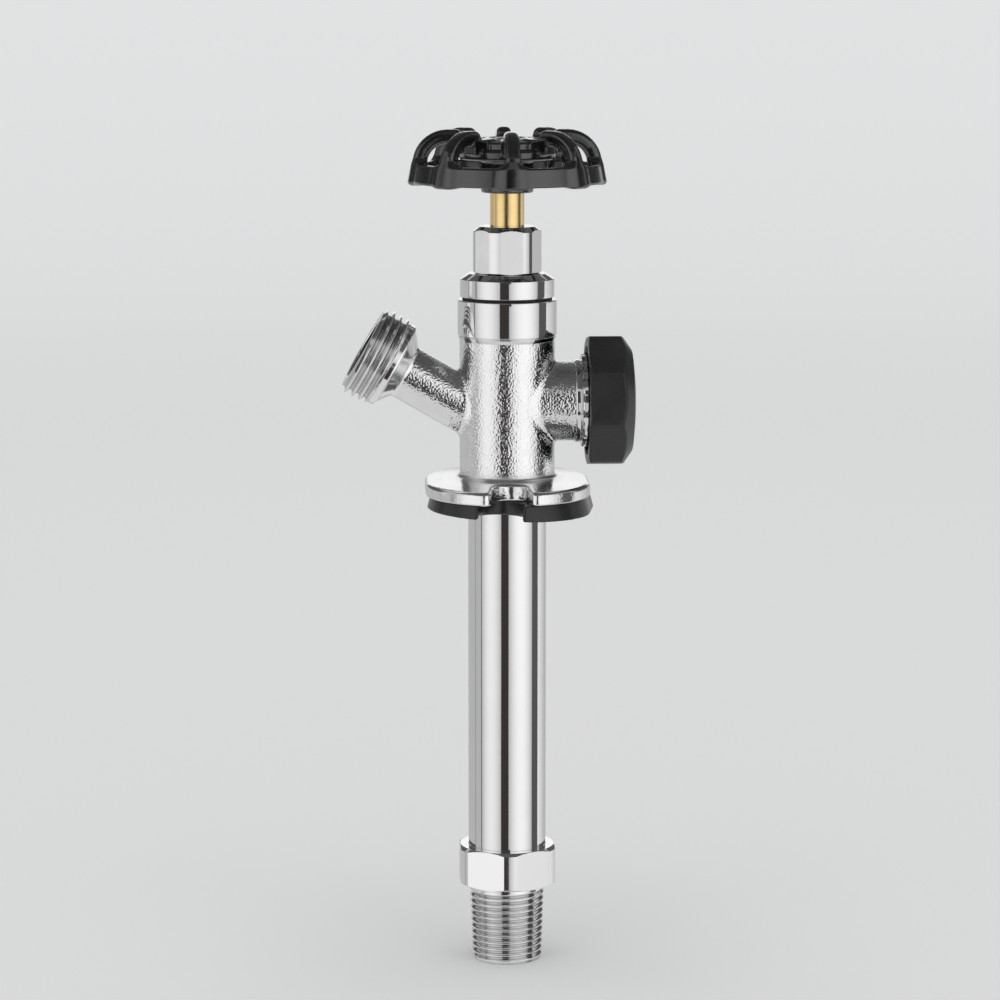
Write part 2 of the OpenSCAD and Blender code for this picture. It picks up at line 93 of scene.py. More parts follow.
# Away from the tap the paper glows up to the level of the lit floor, for the lens alone
glow_start, glow_full, glow_most = 0.2, 2.7, 0.36
paper_place = paper_tree.nodes.new("ShaderNodeTexCoord")
paper_far = paper_tree.nodes.new("ShaderNodeVectorMath")
paper_far.operation = "LENGTH"
paper_tree.links.new(paper_place.outputs["Object"], paper_far.inputs[0])
paper_lift = paper_tree.nodes.new("ShaderNodeMapRange")
paper_lift.inputs["From Min"].default_value = glow_start
paper_lift.inputs["From Max"].default_value = glow_full
paper_lift.inputs["To Max"].default_value = glow_most
paper_tree.links.new(paper_far.outputs["Value"], paper_lift.inputs["Value"])
paper_path = paper_tree.nodes.new("ShaderNodeLightPath")
paper_glow = paper_tree.nodes.new("ShaderNodeMath")
paper_glow.operation = "MULTIPLY"
paper_tree.links.new(paper_path.outputs["Is Camera Ray"], paper_glow.inputs[0])
paper_tree.links.new(paper_lift.outputs["Result"], paper_glow.inputs[1])
paper_tree.links.new(paper_glow.outputs["Value"], paper_shader.inputs["Emission Strength"])

bend_steps = 12
sweep_line = [(0.0, floor_level), (0.4, floor_level), (1.0, floor_level)]
for step in range(bend_steps + 1):
    bend = math.radians(90.0 * step / bend_steps)
    sweep_line.append((
        floor_reach - sweep_bend + sweep_bend * math.sin(bend),
        floor_level + sweep_bend - sweep_bend * math.cos(bend),
    ))
sweep_line.append((floor_reach, wall_top))
around = 96
sweep_points = [(0.0, 0.0, floor_level)]
for reach, height in sweep_line[1:]:
    for k in range(around):
        angle = 2 * math.pi * k / around
        sweep_points.append((reach * math.cos(angle), reach * math.sin(angle), height))
sweep_faces = [(0, 1 + k, 1 + (k + 1) % around) for k in range(around)]
for ring in range(len(sweep_line) - 2):
    a, b = 1 + ring * around, 1 + (ring + 1) * around
    for k in range(around):
        n = (k + 1) % around
        sweep_faces.append((a + k, b + k, b + n, a + n))
sweep = plain_mesh("paper_sweep", sweep_points, sweep_faces, paper)
sweep.visible_glossy = False
sweep.visible_diffuse = False
sweep.visible_shadow = False

# Studio light
# Tall curved cards stand round the tap and show in its plating alone: bright ones left and
# right of the lens, with a dark gap between them that is the band down the barrel, pale ones
# behind, and dark flags beside and over them. A soft lamp overhead lights the paper.
card_reach = 1.25
card_low, card_high = -0.8, 0.8
card_fade = 0.3


def glow_shade(name):
    """A material that only glows: itself, its tree and its emission."""
    shade = bpy.data.materials.new(name)
    shade.use_nodes = True
    tree = shade.node_tree
    tree.nodes.clear()
    emission = tree.nodes.new("ShaderNodeEmission")
    out = tree.nodes.new("ShaderNodeOutputMaterial")
    tree.links.new(emission.outputs["Emission"], out.inputs["Surface"])
    return shade, tree, emission


def mirrored_card(name, points, faces, shade):
    """A card that is seen only in reflections."""
    card = plain_mesh(name, points, faces, shade)
    card.visible_camera = False
    card.visible_shadow = False
    card.visible_diffuse = False
    card.visible_transmission = False
    return card


def light_card(name, turns, glow, low=card_low, high=card_high,
               reach=card_reach, tint=(1.0, 1.0, 1.0)):
    """A card curved round the tap between two turns from the lens.

    The glow is its level at its start, middle and end.
    """
    shade, tree, emission = glow_shade(name)
    level = tree.nodes.new("ShaderNodeVertexColor")
    level.layer_name = "glow"
    tree.links.new(level.outputs["Color"], emission.inputs["Color"])
    columns, rows = 24, 8
    points, faces, colours = [], [], []
    for k in range(columns + 1):
        share = k / columns
        turn = math.radians(turns[0] + (turns[1] - turns[0]) * share) + camera_turn
        here = (glow[0] * (1 - share) * (1 - 2 * share) + glow[1] * 4 * share * (1 - share)
                + glow[2] * share * (2 * share - 1))
        for j in range(rows + 1):
            height = low + (high - low) * j / rows
            points.append((reach * math.sin(turn), -reach * math.cos(turn), height))
            soft = here * (1 - card_fade * abs(2 * j / rows - 1) ** 3)
            colours.extend((soft * tint[0], soft * tint[1], soft * tint[2], 1.0))
    for k in range(columns):
        for j in range(rows):
            a, b = k * (rows + 1) + j, (k + 1) * (rows + 1) + j
            faces.append((a, a + 1, b + 1, b))
    card = mirrored_card(name, points, faces, shade)
    layer = card.data.color_attributes.new("glow", "FLOAT_COLOR", "POINT")
    layer.data.foreach_set("color", colours)


def flat_card(name, half, height, level):
    """A level card over or under the tap."""
    shade, _, emission = glow_shade(name)
    emission.inputs["Color"].default_value = (level, level, level, 1.0)
    corners = [(-half, -half, height), (half, -half, height),
               (half, half, height), (-half, half, height)]
    mirrored_card(name, corners, [(0, 1, 2, 3)], shade)


lens_dark = (0.045,) * 3
flag_dark = (0.10,) * 3
flag_reach = 1.24
light_card("card_left", (-80, -17.5), (0.53, 0.97, 0.53))
light_card("card_right", (4.4, 79), (0.52, 1.08, 0.52))
light_card("card_right_rear", (103, 150), (0.90, 0.67, 0.45), high=0.12)
light_card("card_back", (163, 197), (0.92, 1.00, 0.92), low=0.03, high=0.56, reach=1.2)
light_card("card_left_rear", (-106, -95), (0.74, 0.76, 0.74), low=-0.13, high=0.12)
light_card("flag_lens", (-17.5, 4.4), lens_dark, tint=(1.0, 0.85, 0.82))
light_card("flag_lens_high", (4.4, 9.5), lens_dark, low=0.04, reach=flag_reach)
light_card("flag_lens_low", (4.4, 9.5), lens_dark, high=-0.52, reach=flag_reach)
light_card("flag_right", (79, 103), flag_dark)
light_card("flag_back_high", (163, 197), flag_dark, low=0.56, high=0.98)
light_card("flag_right_high", (112, 163), flag_dark, low=0.13, reach=flag_reach)
light_card("flag_left_high", (-163, -108), flag_dark, low=0.13, reach=flag_reach)
light_card("flag_left", (-84, -80), (0.25, 0.20, 0.25))
light_card("flag_left_rear", (-110.5, -106), (0.40, 0.34, 0.40))
flat_card("flag_over", half=1.0, height=0.85, level=0.10)
flat_card("card_under", half=1.25, height=-0.8, level=0.66)

top_lamp_data = bpy.data.lights.new("top_lamp", "AREA")
top_lamp_data.shape = "SQUARE"
top_lamp_data.size = 1.6
top_lamp_data.energy = 11.0
top_lamp = bpy.data.objects.new("top_lamp", top_lamp_data)
top_lamp.location = (0.0, -0.2, 1.6)
top_lamp.visible_glossy = False
scene.collection.objects.link(top_lamp)

room = bpy.data.worlds.new("room")
scene.world = room
room.use_nodes = True
room_back = room.node_tree.nodes["Background"]
room_back.inputs["Color"].default_value = (1.0, 1.0, 1.0, 1.0)
room_back.inputs["Strength"].default_value = 0.5

# Inlet fitting
# The brass fitting soldered on the wall end of the barrel: a hexagon with turned
# corners over a tapered half inch pipe thread, plated bright all over.
inlet_end = -132.0
inlet_hex_low, inlet_hex_high = -109.45, -98.15
hex_sides = 6
inlet_flats = 27.0
inlet_corner, inlet_face = 14.69, 13.4
inlet_chamfer = 0.7
inlet_turn = math.radians(31)
inlet_bore, inlet_floor = 7.97, -119.0
seat_bore, seat_rim, seat_high = 4.75, 6.1, -103.55
tube_radius = 11.1
solder_gap = 0.03
socket_floor = -105.15
pipe_crest = 10.75
pipe_taper = 1 / 32
pipe_pitch = 1.814
pipe_groove = 1.0
pipe_wall = 8.4
pipe_high = inlet_hex_low - 0.6
pipe_run_out = (inlet_hex_low - 2.6, inlet_hex_low - 0.9)


def rounded(corners, steps=4):
    """Outline of (radius, station) points from corners of (radius, station, rounding)."""
    line = []
    count = len(corners)
    for i, (r, z, bend) in enumerate(corners):
        here = np.array((r, z))
        if bend <= 0:
            line.append(here)
            continue
        back = np.array(corners[i - 1][:2]) - here
        on = np.array(corners[(i + 1) % count][:2]) - here
        back_length, on_length = np.linalg.norm(back), np.linalg.norm(on)
        back, on = back / back_length, on / on_length
        half = 0.5 * math.acos(max(-1.0, min(1.0, float(back @ on))))
        reach = min(bend / math.tan(half), 0.48 * back_length, 0.48 * on_length)
        for k in range(steps + 1):
            t = k / steps
            line.append(
                here + back * reach * (1 - t) ** 2 + on * reach * t ** 2
            )
    return np.array(line)


def filled(line, gap, closed=True):
    """The same outline with more points, none further apart than the gap."""
    dense = []
    count = len(line)
    for i in range(count if closed else count - 1):
        a, b = line[i], line[(i + 1) % count]
        parts = max(1, int(math.ceil(np.linalg.norm(b - a) / gap)))
        dense.extend(a + (b - a) * k / parts for k in range(parts))
    if not closed:
        dense.append(line[-1])
    return np.array(dense)


def turned(line, around, cut=None, closed=True):
    """A lathe turned solid about +Z, with cut(radius, angle, station) for flats or threads."""
    if isinstance(around, int):
        around = np.linspace(0, 2 * math.pi, around, endpoint=False)
    angle = around[None, :]
    around = len(around)
    station = np.repeat(line[:, 1][:, None], around, 1)
    radius = np.repeat(line[:, 0][:, None], around, 1)
    if cut is not None:
        radius = cut(radius, np.repeat(angle, len(line), 0), station)
    points = np.stack((radius * np.cos(angle), radius * np.sin(angle), station), -1)
    rows = len(line)
    column = np.arange(around)
    after = (column + 1) % around
    faces = []
    for i in range(rows if closed else rows - 1):
        j = (i + 1) % rows
        quads = np.stack(
            (i * around + column, i * around + after, j * around + after, j * around + column), 1
        )
        faces.extend(map(tuple, quads.tolist()))
    points = points.reshape(-1, 3)
    if not closed:
        for row, flip in ((0, True), (rows - 1, False)):
            pole = len(points)
            points = np.vstack((points, [[0.0, 0.0, line[row, 1]]]))
            for k in range(around):
                n = (k + 1) % around
                pair = (row * around + n, row * around + k)
                faces.append((pole, *(pair if flip else pair[::-1])))
    return points, faces


def milled(across, corner, turn, sides, flat_steps=24, corner_steps=6):
    """Angles of a turned solid that fall on the edges of its milled flats."""
    part = 2 * math.pi / sides
    half = math.acos(0.5 * across / corner)
    one = np.concatenate((
        np.linspace(-half, half, flat_steps, endpoint=False),
        np.linspace(half, part - half, corner_steps, endpoint=False),
    ))
    return np.concatenate([turn + part * (k + 0.5) + one for k in range(sides)])


def flats(radius, angle, across, turn, sides, ease=0.04):
    """The radius of a turned face where it is milled to flats that many across."""
    part = 2 * math.pi / sides
    off = np.mod(angle - turn + part, part) - part / 2
    flat = 0.5 * across / np.cos(off)
    near = np.maximum(ease - np.abs(radius - flat), 0) / ease
    return np.minimum(radius, flat) - near ** 2 * ease / 4


def ramp(low, high, value):
    """A soft rise from 0 to 1 as the value goes from low to high."""
    t = np.clip((value - low) / (high - low), 0, 1)
    return t * t * (3 - 2 * t)


def groove(angle, station, pitch, crest=0.12, flank=0.72):
    """Depth share of a right hand screw groove, from 0 on its crest to 1 at its root."""
    phase = station / pitch - angle / (2 * math.pi)
    off = 2 * np.abs(phase - np.round(phase))
    return np.clip((off - crest) / flank, 0, 1)


def made_piece(name, points, faces, finish, body, nodes, crease=32, normals=None):
    """A mesh of the tap in millimetres, riding on a body in place of the solids named."""
    mesh = bpy.data.meshes.new(name)
    mesh.from_pydata((np.asarray(points) * MM).tolist(), [], faces)
    if normals is None:
        shape = bmesh.new()
        shape.from_mesh(mesh)
        bmesh.ops.recalc_face_normals(shape, faces=shape.faces)
        shape.to_mesh(mesh)
        shape.free()
    mesh.shade_smooth()
    if normals is None:
        mesh.set_sharp_from_angle(angle=math.radians(crease))
    else:
        mesh.normals_split_custom_set_from_vertices(normals.tolist())
    mesh.materials.append(finish)
    made = bpy.data.objects.new(name, mesh)
    scene.collection.objects.link(made)
    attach(made, body)
    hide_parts(*nodes)
    return made


def new_group(name, inputs, outputs):
    """An empty shader node group with its sockets, and its input and output nodes."""
    tree = bpy.data.node_groups.new(name, "ShaderNodeTree")
    for label, value in inputs:
        socket = tree.interface.new_socket(
            name=label, in_out="INPUT", socket_type="NodeSocketFloat"
        )
        socket.default_value = value
    for label in outputs:
        tree.interface.new_socket(
            name=label, in_out="OUTPUT", socket_type="NodeSocketFloat"
        )
    return tree, tree.nodes.new("NodeGroupInput"), tree.nodes.new("NodeGroupOutput")


def noise(tree, vector, scale, detail, rough):
    """A noise texture, its scale a number or a socket."""
    texture = tree.nodes.new("ShaderNodeTexNoise")
    tree.links.new(vector, texture.inputs["Vector"])
    if isinstance(scale, (int, float)):
        texture.inputs["Scale"].default_value = scale
    else:
        tree.links.new(scale, texture.inputs["Scale"])
    texture.inputs["Detail"].default_value = detail
    texture.inputs["Roughness"].default_value = rough
    return texture.outputs["Fac"]


# Slow clouding of a surface, for its colour and its polish
clouding, cloud_in, cloud_out = new_group("clouding", [("Scale", 90.0)], ["Mask"])
cloud_place = clouding.nodes.new("ShaderNodeTexCoord")
clouding.links.new(
    noise(clouding, cloud_place.outputs["Object"], cloud_in.outputs["Scale"], 4.0, 0.6),
    cloud_out.inputs["Mask"],
)

# Fine lines left by turning, drawing and buffing along the barrel
lines, lines_in, lines_out = new_group(
    "polish_lines", [("Across", 900.0), ("Along", 18.0)], ["Height"]
)
lines_place = lines.nodes.new("ShaderNodeTexCoord")
lines_scale = lines.nodes.new("ShaderNodeCombineXYZ")
for axis in ("X", "Y"):
    lines.links.new(lines_in.outputs["Across"], lines_scale.inputs[axis])
lines.links.new(lines_in.outputs["Along"], lines_scale.inputs["Z"])
lines_stretch = lines.nodes.new("ShaderNodeVectorMath")
lines_stretch.operation = "MULTIPLY"
lines.links.new(lines_place.outputs["Object"], lines_stretch.inputs[0])
lines.links.new(lines_scale.outputs["Vector"], lines_stretch.inputs[1])
lines.links.new(
    noise(lines, lines_stretch.outputs["Vector"], 1.0, 2.0, 0.5),
    lines_out.inputs["Height"],
)


def new_finish(name, metal):
    """A principled material: itself, its tree and its shader."""
    material = bpy.data.materials.new(name)
    material.use_nodes = True
    shader = material.node_tree.nodes["Principled BSDF"]
    shader.inputs["Metallic"].default_value = metal
    return material, material.node_tree, shader


def placed(tree, group, **values):
    """A node group placed in a material with its own values."""
    node = tree.nodes.new("ShaderNodeGroup")
    node.node_tree = group
    for label, value in values.items():
        node.inputs[label].default_value = value
    return node


def two_tone(tree, shader, mask, band, tones):
    """Base colour that goes from one tone to the other as the mask rises through a band."""
    mix = tree.nodes.new("ShaderNodeValToRGB")
    for element, spot, tone in zip(mix.color_ramp.elements, band, tones):
        element.position = spot
        element.color = (*tone, 1.0)
    tree.links.new(mask, mix.inputs["Fac"])
    tree.links.new(mix.outputs["Color"], shader.inputs["Base Color"])


def drift(tree, shader, mask, rough, band=(0.3, 0.7)):
    """Roughness that drifts between two numbers as the mask rises through a band."""
    scale = tree.nodes.new("ShaderNodeMapRange")
    scale.inputs["From Min"].default_value = band[0]
    scale.inputs["From Max"].default_value = band[1]
    scale.inputs["To Min"].default_value = rough[0]
    scale.inputs["To Max"].default_value = rough[1]
    tree.links.new(mask, scale.inputs["Value"])
    tree.links.new(scale.outputs["Result"], shader.inputs["Roughness"])


def clouded(name, metal, scale, band, tones, rough=None):
    """A finish whose colour, and roughness where given, drift with the same slow clouds."""
    material, tree, shader = new_finish(name, metal)
    mask = placed(tree, clouding, Scale=scale).outputs["Mask"]
    two_tone(tree, shader, mask, band, tones)
    if rough is not None:
        drift(tree, shader, mask, rough)
    return material, tree, shader


def raised(tree, shader, height, distance):
    """Bump from a height, that many metres deep."""
    bump = tree.nodes.new("ShaderNodeBump")
    bump.inputs["Strength"].default_value = 1.0
    bump.inputs["Distance"].default_value = distance
    tree.links.new(height, bump.inputs["Height"])
    tree.links.new(bump.outputs["Normal"], shader.inputs["Normal"])


bright_chrome, tree, shader = clouded(
    "bright_chrome", metal=1.0, scale=140.0, band=(0.3, 0.75),
    tones=((0.86, 0.86, 0.862), (0.835, 0.835, 0.84)), rough=(0.04, 0.08),
)
marks = placed(tree, lines, Across=700.0, Along=12.0)
raised(tree, shader, marks.outputs["Height"], 0.000008)

# Painted shade: the plating's colour darkens by depth towards the root of a thread, where the
# groove lies in shade, and is lighter on the crests
thread_chrome, tree, shader = new_finish("thread_chrome", metal=1.0)
root_shade = tree.nodes.new("ShaderNodeVertexColor")
root_shade.layer_name = "depth"
# painted shade: crest tone light, root tone dark, by depth in the groove
two_tone(tree, shader, root_shade.outputs["Color"], band=(0.12, 0.75),
         tones=((0.94, 0.94, 0.942), (0.62, 0.62, 0.625)))
cloud = placed(tree, clouding, Scale=140.0)
drift(tree, shader, cloud.outputs["Mask"], rough=(0.07, 0.12))


def mark_thread(made, on_thread, depth):
    """Keeps how deep each point lies in a thread, for the painted shade in its roots, and clears
    the creases of its mesh.
    """
    mesh = made.data
    layer = mesh.color_attributes.new("depth", "FLOAT_COLOR", "POINT")
    depth = np.where(on_thread, np.clip(depth, 0, 1), 0)
    layer.data.foreach_set("color", np.repeat(depth, 4).tolist())
    ends = np.empty(2 * len(mesh.edges), np.int32)
    mesh.edges.foreach_get("vertices", ends)
    sharp = np.empty(len(mesh.edges), bool)
    mesh.attributes["sharp_edge"].data.foreach_get("value", sharp)
    sharp &= ~on_thread[ends.reshape(-1, 2)].all(1)
    mesh.attributes["sharp_edge"].data.foreach_set("value", sharp)


def inlet_cut(radius, angle, station):
    hexed = flats(radius, angle, inlet_flats, inlet_turn, hex_sides)
    on_hex = (station > inlet_hex_low - 0.01) & (radius > tube_radius + 0.3)
    radius = np.where(on_hex, hexed, radius)
    crest = pipe_crest - pipe_taper * (inlet_hex_low - station)
    share = 1 - ramp(*pipe_run_out, station)
    screw = crest - pipe_groove * share * groove(angle, station, pipe_pitch)
    on_pipe = (station < pipe_high) & (radius > pipe_wall)
    return np.where(on_pipe, np.minimum(radius, screw), radius)


inlet_line = rounded([
    (inlet_bore, inlet_floor, 0), (inlet_bore, inlet_end, 0.3), (9.15, inlet_end, 0.3),
    (10.15, inlet_end + 1.4, 0.2), (pipe_crest - 0.05, inlet_hex_low, 0.7),
    (inlet_face, inlet_hex_low, 0.15), (inlet_corner, inlet_hex_low + inlet_chamfer, 0.15),
    (inlet_corner, inlet_hex_high - inlet_chamfer, 0.15), (inlet_face, inlet_hex_high, 0.15),
    (tube_radius + solder_gap, inlet_hex_high, 0.2), (tube_radius + solder_gap, socket_floor, 0),
    (seat_rim, socket_floor, 0), (seat_rim, seat_high, 0.3), (seat_bore, seat_high, 0.3),
    (seat_bore, inlet_floor, 0),
])
inlet_around = milled(inlet_flats, inlet_corner, inlet_turn, hex_sides)
points, faces = turned(filled(inlet_line, 0.15), inlet_around, inlet_cut)
inlet = made_piece("inlet_hex_and_thread", points, faces, thread_chrome, "housing",
                   ["inlet_fitting"], crease=18)
radius = np.hypot(points[:, 0], points[:, 1])
below = inlet_hex_low - points[:, 2]
mark_thread(inlet, (points[:, 2] < pipe_high) & (radius > pipe_wall + 0.2),
            (pipe_crest - pipe_taper * below - radius) / pipe_groove)

# Barrel tube
# Drawn copper tube, plated, soldered into the inlet fitting and the body. It is the
# length of the wall, so that the water stops on the warm side.
tube_bore = 9.9
tube_low, tube_high = -105.1, 18.2
barrel_line = rounded([
    (tube_bore, tube_low, 0.3), (tube_radius, tube_low, 0.3),
    (tube_radius, tube_high, 0.3), (tube_bore, tube_high, 0.3),
])
points, faces = turned(filled(barrel_line, 2.0), 128)
made_piece("barrel", points, faces, bright_chrome, "housing", ["barrel_tube"])

# Valve body
# One sand casting: round body, flange with two screw notches, slanted spout and
# breaker stub, blended where they meet, plated over the grainy skin of the mould.
flange_low, flange_high = 4.3, 9.0
flange_radius, flange_half = 23.25, 5.75
flange_edge, flange_under = 1.2, 0.5
flange_drop, drop_start, drop_run = 1.0, 10.8, 9.9
notch_radius, notch_place = 4.9, 22.1
notch_flare, notch_lip = 0.15, 2.4
body_radius, body_fillet = 13.45, 1.3
neck_low, neck_high = 49.2, 59.3
neck_radius, neck_bore, neck_seam = 14.0, 10.48, 13.7
neck_foot = 47.2
spout_root = 22.1
spout_tilt = math.radians(30)
spout_radius, spout_bore, spout_end = 7.75, 5.4, 34.6
stub_height, stub_radius, stub_end = 30.3, 11.3, 19.5
stub_fillet = 1.0
spout_way = np.array((-math.cos(spout_tilt), 0.0, math.sin(spout_tilt)))
body_axis = (0, 0, 0), (0, 0, 1)
spout_axis = (0, 0, spout_root), spout_way
stub_axis = (0, 0, stub_height), (1, 0, 0)

# Bores as axis, radius, start and end: tube socket, stem chamber, spout, vent, vent mouth
body_bores = (
    (body_axis, tube_radius + solder_gap, 0.0, 18.3),
    (body_axis, 9.5, 17.0, 60.0),
    (spout_axis, spout_bore, 0.0, 50.0),
    (stub_axis, 7.0, 0.0, 15.0),
    (stub_axis, 9.0, 13.9, 30.0),
)


def join(a, b, bend):
    """Union of two solids with a fillet of that radius between them."""
    both = np.hypot(np.maximum(bend - a, 0), np.maximum(bend - b, 0))
    return np.maximum(bend, np.minimum(a, b)) - both


def meet(a, b, bend):
    """What two solids share, its edge rounded to that radius."""
    return -join(-a, -b, bend)


def less(a, b, bend):
    """The first solid with the second cut out of it, the edge rounded."""
    return -join(-a, b, bend)


def rod(x, y, z, root, way, radius, low, high, bend):
    """A round bar along a way from a root point, between two stations."""
    dx, dy, dz = x - root[0], y - root[1], z - root[2]
    along = dx * way[0] + dy * way[1] + dz * way[2]
    off = np.sqrt(np.maximum(dx * dx + dy * dy + dz * dz - along * along, 1e-9)) - radius
    ends = np.maximum(low - along, along - high)
    return meet(off, ends, bend)


def oval(x, y, radius, half):
    """Distance outside a flange outline of two half rounds set apart along Y."""
    return np.hypot(x, np.maximum(np.abs(y) - half, 0)) - radius


def notch(x, y, radius, place, flare=0.0):
    """Distance outside the two open ended screw notches, which may flare outwards."""
    beyond = np.abs(y) - place
    return np.hypot(x, np.minimum(beyond, 0)) - radius - flare * np.maximum(beyond, 0)


def skin(field, low, high, step):
    """Points, faces and normals of the surface where a solid's field is zero."""
    axes = [np.arange(a, b + step, step, dtype=np.float32) for a, b in zip(low, high)]
    grid = np.meshgrid(*axes, indexing="ij")
    value = field(*grid).astype(np.float32)
    inside = value < 0
    cells = tuple(n - 1 for n in value.shape)
    total = np.zeros(cells + (3,), np.float32)
    count = np.zeros(cells, np.int16)
    corner = [(i, j, k) for i in (0, 1) for j in (0, 1) for k in (0, 1)]

    def at(array, c):
        return array[tuple(slice(o, o + n) for o, n in zip(c, cells))]

    for a in corner:
        for axis in range(3):
            if a[axis]:
                continue
            b = tuple(o + (n == axis) for n, o in enumerate(a))
            crossed = at(inside, a) != at(inside, b)
            va, vb = at(value, a)[crossed], at(value, b)[crossed]
            share = va / (va - vb)
            spot = np.tile(np.array(a, np.float32), (len(share), 1))
            spot[:, axis] += share
            total[crossed] += spot
            count[crossed] += 1
    used = np.argwhere(count > 0)
    place = total[count > 0] / count[count > 0][:, None]
    points = np.array(low) + (used + place) * step
    index = np.full(cells, -1, np.int64)
    index[tuple(used.T)] = np.arange(len(used))
    faces = []
    for axis in range(3):
        ahead = [slice(None)] * 3
        behind = [slice(None)] * 3
        ahead[axis], behind[axis] = slice(1, None), slice(None, -1)
        crossed = np.argwhere(inside[tuple(behind)] != inside[tuple(ahead)])
        u, v = [n for n in range(3) if n != axis]
        good = (crossed[:, u] > 0) & (crossed[:, v] > 0)
        good &= (crossed[:, u] < cells[u]) & (crossed[:, v] < cells[v])
        crossed = crossed[good]
        quad = []
        for du, dv in ((-1, -1), (0, -1), (0, 0), (-1, 0)):
            spot = crossed.copy()
            spot[:, u] += du
            spot[:, v] += dv
            quad.append(index[tuple(spot.T)])
        quad = np.stack(quad, 1)
        outward = inside[tuple(behind)][tuple(crossed.T)]
        if axis == 1:
            outward = ~outward
        quad[~outward] = quad[~outward][:, ::-1]
        faces.extend(map(tuple, quad.tolist()))
    reach = 0.25 * step

    def slope(p):
        parts = []
        for axis in range(3):
            shift = np.zeros(3)
            shift[axis] = reach
            parts.append(field(*(p + shift).T) - field(*(p - shift).T))
        return np.stack(parts, 1) / (2 * reach)

    for _ in range(3):
        rise = slope(points)
        steep = np.maximum((rise * rise).sum(1), 0.2)
        move = rise * (field(*points.T) / steep)[:, None]
        length = np.linalg.norm(move, axis=1, keepdims=True)
        points = points - move * np.minimum(1, 0.5 * step / np.maximum(length, 1e-9))
    rise = slope(points)
    return points, faces, rise / np.maximum(np.linalg.norm(rise, axis=1, keepdims=True), 1e-9)


def body_field(x, y, z):
    """Distance outside the casting."""
    rim = oval(x, y, flange_radius, flange_half)
    slope = flange_drop * np.clip((rim + drop_start) / drop_run, 0, 1)
    outline = less(rim, notch(x, y, notch_radius, notch_place, notch_flare), notch_lip)
    plate = meet(outline, z - flange_high + slope, flange_edge)
    plate = meet(plate, flange_low - z, flange_under)
    column = meet(np.hypot(x, y) - body_radius,
                  np.maximum(flange_low - z, z - neck_low - 0.3), 0.3)
    spout = rod(x, y, z, *spout_axis, spout_radius, 0.0, spout_end, 0.2)
    stub = rod(x, y, z, *stub_axis, stub_radius, 0.0, stub_end, 0.3)
    solid = join(plate, column, body_fillet)
    solid = join(solid, spout, body_fillet)
    solid = join(solid, stub, stub_fillet)
    bore = math.inf
    for axis, radius, start, end in body_bores:
        bore = np.minimum(bore, rod(x, y, z, *axis, radius, start, end, 0.1))
    return less(solid, bore, 0.3)


# Grainy skin of the sand mould under the plating
sand, sand_in, sand_out = new_group(
    "sand_skin", [("Grain", 1700.0), ("Lump", 420.0)], ["Height"]
)
sand_place = sand.nodes.new("ShaderNodeTexCoord")
sand_grain = noise(sand, sand_place.outputs["Object"], sand_in.outputs["Grain"], 0.6, 0.5)
sand_lump = noise(sand, sand_place.outputs["Object"], sand_in.outputs["Lump"], 1.0, 0.5)
sand_sum = sand.nodes.new("ShaderNodeMath")
sand_sum.operation = "MULTIPLY_ADD"
sand_sum.inputs[1].default_value = 0.35
sand.links.new(sand_lump, sand_sum.inputs[0])
sand.links.new(sand_grain, sand_sum.inputs[2])
sand.links.new(sand_sum.outputs["Value"], sand_out.inputs["Height"])

cast_chrome, tree, shader = clouded(
    "cast_chrome", metal=1.0, scale=220.0, band=(0.35, 0.7),
    tones=((0.91, 0.91, 0.912), (0.86, 0.86, 0.865)),
)
grain = placed(tree, sand, Grain=1700.0, Lump=420.0)
where = tree.nodes.new("ShaderNodeTexCoord")
apart = tree.nodes.new("ShaderNodeSeparateXYZ")
tree.links.new(where.outputs["Object"], apart.inputs["Vector"])

# Buffing leaves the foot of the body duller, where the wheel can't reach into the corner
foot_low, foot_high = 7.5 * MM, 12.5 * MM
foot_rough = ((0.0, 0.12), (0.2, 0.12), (0.36, 0.34), (0.52, 0.34), (0.75, 0.11), (1.0, 0.11))
foot = tree.nodes.new("ShaderNodeValToRGB")
foot.color_ramp.interpolation = "EASE"
for spot, _ in foot_rough[1:-1]:
    foot.color_ramp.elements.new(spot)
for element, (_, rough) in zip(foot.color_ramp.elements, foot_rough):
    element.color = (rough, rough, rough, 1.0)
foot_rise = tree.nodes.new("ShaderNodeMapRange")
foot_rise.inputs["From Min"].default_value = foot_low
foot_rise.inputs["From Max"].default_value = foot_high
tree.links.new(apart.outputs["Z"], foot_rise.inputs["Value"])
tree.links.new(foot_rise.outputs["Result"], foot.inputs["Fac"])
tree.links.new(foot.outputs["Color"], shader.inputs["Roughness"])

# The grain is weaker on the flange than on the body above it
grain_low, grain_high = 9.2 * MM, 11.5 * MM
above = tree.nodes.new("ShaderNodeMapRange")
above.inputs["From Min"].default_value = grain_low
above.inputs["From Max"].default_value = grain_high
above.inputs["To Min"].default_value = 0.4
above.inputs["To Max"].default_value = 1.0
tree.links.new(apart.outputs["Z"], above.inputs["Value"])
grained = tree.nodes.new("ShaderNodeMath")
grained.operation = "MULTIPLY"
tree.links.new(grain.outputs["Height"], grained.inputs[0])
tree.links.new(above.outputs["Result"], grained.inputs[1])
raised(tree, shader, grained.outputs["Value"], 0.00013)

body_step = 0.42
body_box = (-35.0, -30.0, 3.4), (24.4, 30.0, 50.5)
points, faces, normals = skin(body_field, *body_box, body_step)
made_piece("body_casting", points, faces, cast_chrome, "housing",
           ["valve_body"], normals=normals)

neck_line = rounded([
    (neck_bore, neck_foot, 0), (13.2, neck_foot, 0), (13.5, 47.8, 0.5), (13.85, 48.95, 0.3),
    (neck_seam, 49.1, 0), (neck_seam, neck_low, 0), (neck_radius, neck_low + 0.1, 0.2),
    (neck_radius, neck_high, 0.35), (neck_bore, neck_high, 0.3),
])
points, faces = turned(filled(neck_line, 1.2), 144)
made_piece("body_neck_ring", points, faces, bright_chrome, "housing",
           ["valve_body"])

